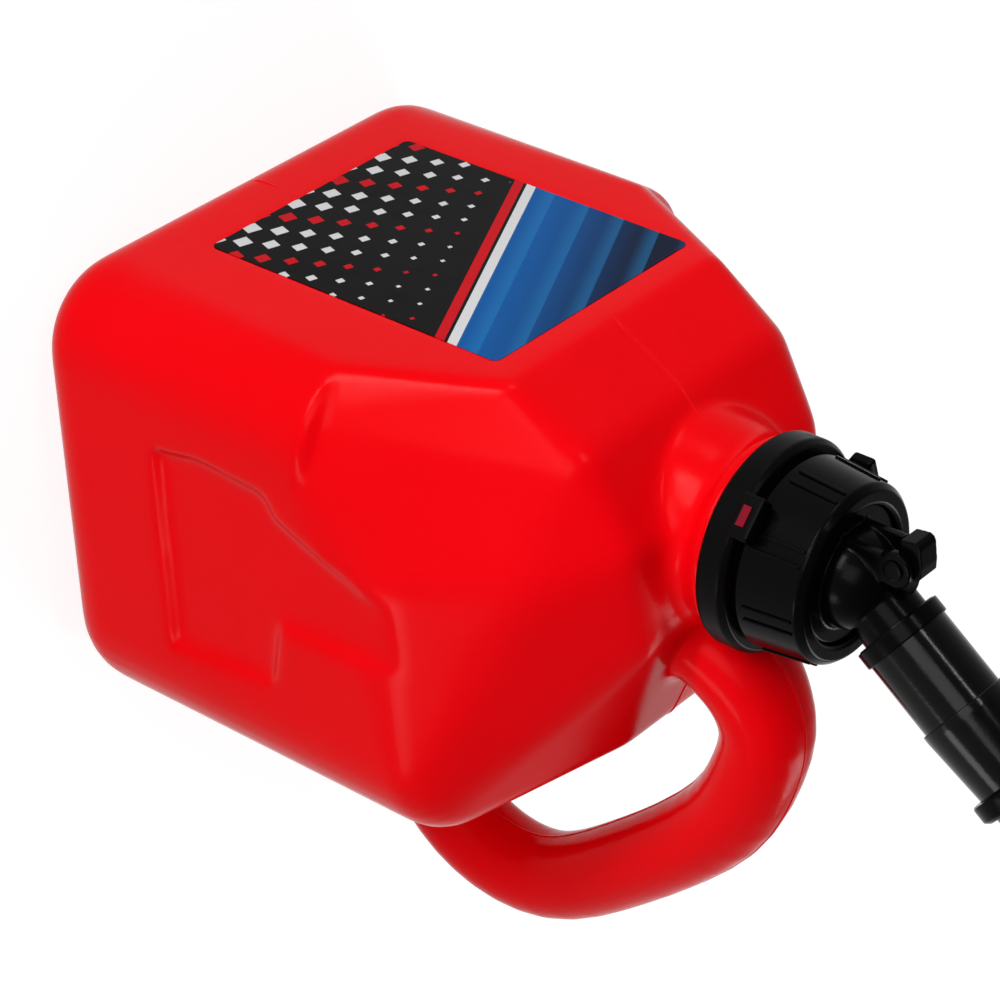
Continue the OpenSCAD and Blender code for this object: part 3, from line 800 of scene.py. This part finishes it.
# %% Pin with domed heads
AXIS_R, SHANK_STEP, DOME_SHARE, PIN_EASE = 0.02, 2, 0.7, 0.25
pin_low, pin_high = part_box("trigger_pin")
half_pin = (pin_high[0] - pin_low[0]) / 2 / MM
pin_r = (pin_high[1] - pin_low[1]) / 2 / MM
# radius, and depth from the end
pin_end = [(AXIS_R, 0), (pin_r * DOME_SHARE, 0.05), (pin_r, 0.35), (pin_r, 1.15), (pin_r - SHANK_STEP, 1.2)]
pin_outline = [(r, deep - half_pin, PIN_EASE) for r, deep in pin_end]
pin_outline += [(r, half_pin - deep, PIN_EASE) for r, deep in reversed(pin_end)]
pin = bmesh.new()
add_turned(pin, pin_outline, steps=48)
pin_middle = Matrix.Translation([(a + b) / 2 for a, b in zip(pin_low, pin_high)])
pin_place = pin_middle @ Matrix.Rotation(math.pi / 2, 4, "Y")
to_piece(pin, "pivot_pin", black_ring, "spout", ["trigger_pin"], pin_place)

# %% [markdown]
# ## Solids that stay as they are
# The red keys and the inner pieces are already their real shapes, so they only get their finishes.

# %% Finishes of the remaining nodes
# The keys take the darkened red, which holds painted shade of their windows.
kept_nodes = {"lug_insert_1": red_key_painted_shade, "lug_insert_2": red_key_painted_shade, "neck_gasket": seal_rubber,
              "flame_screen": steel, "gland_seal": seal_rubber, "valve_stem": black_ring,
              "valve_seal": seal_rubber, "stem_head": black_ring, "tube_seal": seal_rubber,
              "vent_spider": black_ring, "vent_tube": black_ring}
for node, material in kept_nodes.items():
    nodes[node].data.materials.clear()
    nodes[node].data.materials.append(material)
print("nodes kept with new finishes:", len(kept_nodes))

# %% [markdown]
# ## The valve spring
# The disc of the valve presses the coil up against the gland. A copy of the coil, in steel, takes the
# place of the spring node on the spout.

# %% A copy of the coil
coil = bpy.data.objects.new("coil_spring", nodes["valve_spring"].data.copy())
dress(coil, steel, "spout", ["valve_spring"], even=False)
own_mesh(coil)

# %% [markdown]
# ## Floor, light and camera
# The picture was taken on plain white with broad soft light. The floor is a large pale sheet that looks
# white to the camera and still keeps the can's shadow. A low strip lamp puts the bright line on the bevels
# of the shoulder, a tall narrow lamp draws the line along the tube, and broad lamps and the world fill in.
# The camera stands where the label's outline in the picture put it: it is rolled, so the standing can
# appears in the hand-held pouring tilt.

# %% Floor
FLOOR_HALF, FLOOR_Z = 4, -0.0003
FLOOR_GREY, FLOOR_GLOW = 0.34, 0.82


def seen_share(tree, other, seen):
    """One number for rays from the camera or off shiny and clear pieces, and another for the rest."""
    path = tree.nodes.new("ShaderNodeLightPath")
    value = path.outputs["Is Camera Ray"]
    for ray in ("Is Glossy Ray", "Is Transmission Ray"):
        either = tree.nodes.new("ShaderNodeMath")
        either.operation = "MAXIMUM"
        tree.links.new(value, either.inputs[0])
        tree.links.new(path.outputs[ray], either.inputs[1])
        value = either.outputs[0]
    share = tree.nodes.new("ShaderNodeMapRange")
    set_range(share, "To", other, seen)
    tree.links.new(value, share.inputs["Value"])
    return share.outputs["Result"]


floor_mesh = bpy.data.meshes.new("floor")
floor_signs = ((-1, -1), (1, -1), (1, 1), (-1, 1))
floor_corners = [(sx * FLOOR_HALF, sy * FLOOR_HALF, FLOOR_Z) for sx, sy in floor_signs]
floor_mesh.from_pydata(floor_corners, [], [(0, 1, 2, 3)])
floor = bpy.data.objects.new("floor", floor_mesh)
scene.collection.objects.link(floor)
floor_paint = bpy.data.materials.new("floor_paint")
floor_paint.use_nodes = True
floor_tree = floor_paint.node_tree
floor_shader = floor_tree.nodes["Principled BSDF"]
floor_shader.inputs["Base Color"].default_value = (FLOOR_GREY, FLOOR_GREY, FLOOR_GREY, 1)
floor_shader.inputs["Roughness"].default_value = 0.9
floor_shader.inputs["Specular IOR Level"].default_value = 0.0
floor_shader.inputs["Emission Color"].default_value = (1, 1, 1, 1)
floor_tree.links.new(seen_share(floor_tree, 0.0, FLOOR_GLOW), floor_shader.inputs["Emission Strength"])
floor_mesh.materials.append(floor_paint)
print("floor", 2 * FLOOR_HALF, "m wide")

# %% Lamps
LAMP_AIM = Vector((0, 0.02, 0.18))
# name, place, width and height in metres, and watts
lamp_table = (("strip", (1.08, -1.47, 0.17), (0.90, 0.16), 14),
              ("front", (-0.30, -1.70, 0.25), (0.40, 0.40), 3),
              ("gleam", (0.09, -1.49, 1.52), (0.07, 0.40), 3.4),
              ("fill", (1.25, -1.00, 0.95), (0.90, 0.90), 10),
              ("rear", (1.70, 0.70, 0.20), (0.50, 0.50), 6),
              ("back", (-0.80, 1.40, 1.20), (0.70, 0.70), 10))
for name, spot, (wide, high), watts in lamp_table:
    lamp = bpy.data.lights.new(name, "AREA")
    lamp.shape = "RECTANGLE"
    lamp.size, lamp.size_y, lamp.energy = wide, high, watts
    holder = bpy.data.objects.new(name, lamp)
    holder.location = spot
    holder.rotation_euler = (LAMP_AIM - Vector(spot)).to_track_quat("-Z", "Y").to_euler()
    scene.collection.objects.link(holder)
print("lamps:", [row[0] for row in lamp_table])

# %% World
HORIZON_GLOW, ZENITH_GLOW = 0.80, 0.03
world = bpy.data.worlds.new("studio")
scene.world = world
world.use_nodes = True
sky = world.node_tree
sky_place = sky.nodes.new("ShaderNodeTexCoord")
sky_height = sky.nodes.new("ShaderNodeSeparateXYZ")
sky_glow = sky.nodes.new("ShaderNodeMapRange")
set_range(sky_glow, "To", HORIZON_GLOW, ZENITH_GLOW)
sky.links.new(sky_place.outputs["Generated"], sky_height.inputs[0])
sky.links.new(sky_height.outputs["Z"], sky_glow.inputs["Value"])
sky.links.new(sky_glow.outputs["Result"], sky.nodes["Background"].inputs["Strength"])
sky.nodes["Background"].inputs["Color"].default_value = (1, 1, 1, 1)
print("world glows from", HORIZON_GLOW, "at the horizon to", ZENITH_GLOW, "overhead")

# %% Camera
CAMERA_SPOT = Vector((0.8831, -0.7358, 0.9039))
CAMERA_AIM = Vector((0.0077, -0.0005, 0.1425))
CAMERA_ROLL = math.radians(113.39)
lens = bpy.data.cameras.new("camera")
lens.sensor_width, lens.lens = 36.0, 128.46
lens.clip_end = 20
camera = bpy.data.objects.new("camera", lens)
level = (CAMERA_AIM - CAMERA_SPOT).to_track_quat("-Z", "Y").to_matrix().to_4x4()
camera.matrix_world = Matrix.Translation(CAMERA_SPOT) @ level @ Matrix.Rotation(CAMERA_ROLL, 4, "Z")
scene.collection.objects.link(camera)
scene.camera = camera
scene.view_settings.view_transform = "Standard"
print("camera at", [round(v, 3) for v in camera.location])
